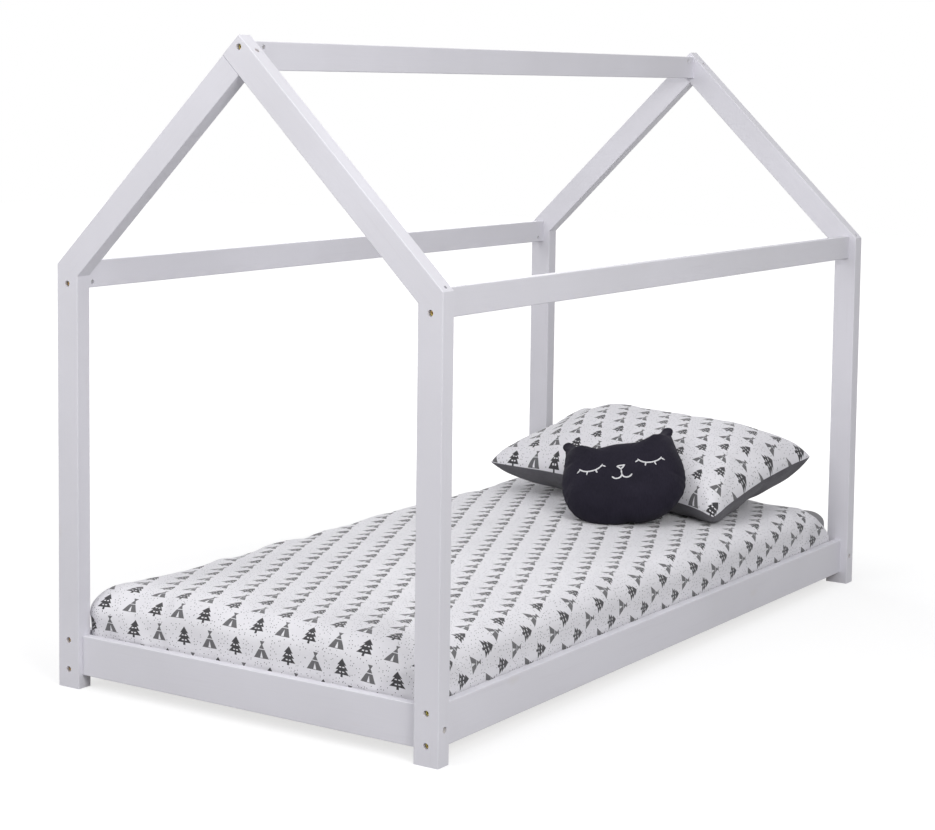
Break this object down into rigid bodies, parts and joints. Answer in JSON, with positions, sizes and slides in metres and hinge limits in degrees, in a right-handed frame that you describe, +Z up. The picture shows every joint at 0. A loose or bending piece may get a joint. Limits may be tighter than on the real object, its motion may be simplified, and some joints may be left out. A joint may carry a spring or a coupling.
{
  "type": "house frame bed",
  "caption": "Low single bed for a child inside a house-shaped wooden frame, with a slatted base, mattress, duvet, pillow and cat-shaped cushion.",
  "frame": {"origin": "on the floor, under the middle of the bed", "axes": "+X towards the bed's right side seen from the foot, +Y towards the head end, +Z up"},
  "size_m": [0.99, 1.98, 1.4005],
  "materials": {
    "painted_wood": "satin off-white paint over pine",
    "bare_wood": "planed, unfinished pine",
    "dowel_wood": "plain beech",
    "webbing": "flat woven tape",
    "bolt_steel": "yellow-brown plating",
    "nut_steel": "bright zinc plating",
    "mattress_ticking": "plain ticking",
    "grey_cotton": "plain grey cotton",
    "printed_cotton": "white cotton with a grey and black print",
    "dark_plush": "short dark navy plush with a light stitched face"
  },
  "bodies": {
    "frame": {"post_foot_left": "painted_wood", "post_foot_right": "painted_wood", "post_head_left": "painted_wood", "post_head_right": "painted_wood", "rafter_foot_left": "painted_wood", "rafter_foot_right": "painted_wood", "rafter_head_left": "painted_wood", "rafter_head_right": "painted_wood", "foot_rail": "painted_wood", "head_rail": "painted_wood", "side_rail_left": "painted_wood", "side_rail_right": "painted_wood", "eave_rail_left": "painted_wood", "eave_rail_right": "painted_wood", "ridge_beam": "painted_wood", "slat_ledge_left": "bare_wood", "slat_ledge_right": "bare_wood", "slat_01": "bare_wood", "slat_02": "bare_wood", "slat_03": "bare_wood", "slat_04": "bare_wood", "slat_05": "bare_wood", "slat_06": "bare_wood", "slat_07": "bare_wood", "slat_08": "bare_wood", "slat_09": "bare_wood", "slat_10": "bare_wood", "slat_11": "bare_wood", "slat_12": "bare_wood", "slat_13": "bare_wood", "slat_14": "bare_wood", "slat_strap_left": "webbing", "slat_strap_right": "webbing", "rail_bolts": "bolt_steel", "end_rail_bolts": "bolt_steel", "barrel_nuts": "nut_steel", "wooden_dowels": "dowel_wood", "apex_screws": "bolt_steel", "rafter_foot_screws": "bolt_steel", "ledge_screws": "nut_steel", "slat_screws": "nut_steel", "strap_tacks": "nut_steel"},
    "mattress": {"mattress": "mattress_ticking", "fitted_sheet": "grey_cotton"},
    "duvet": {"duvet": "printed_cotton"},
    "pillow": {"pillow": "printed_cotton"},
    "cat_cushion": {"cat_cushion": "dark_plush"}
  },
  "joints": [
    {"name": "mattress_lift", "type": "slide", "parent": "frame", "child": "mattress", "axis": [0, 0, 1], "range_m": [0, 0.25]},
    {"name": "duvet_lift", "type": "slide", "parent": "mattress", "child": "duvet", "axis": [0, 0, 1], "range_m": [0, 0.2]},
    {"name": "pillow_lift", "type": "slide", "parent": "duvet", "child": "pillow", "axis": [0, 0, 1], "range_m": [0, 0.2]},
    {"name": "cat_cushion_lift", "type": "slide", "parent": "pillow", "child": "cat_cushion", "axis": [0.188, -0.6149, 0.7659], "range_m": [0, 0.2]}
  ]
}
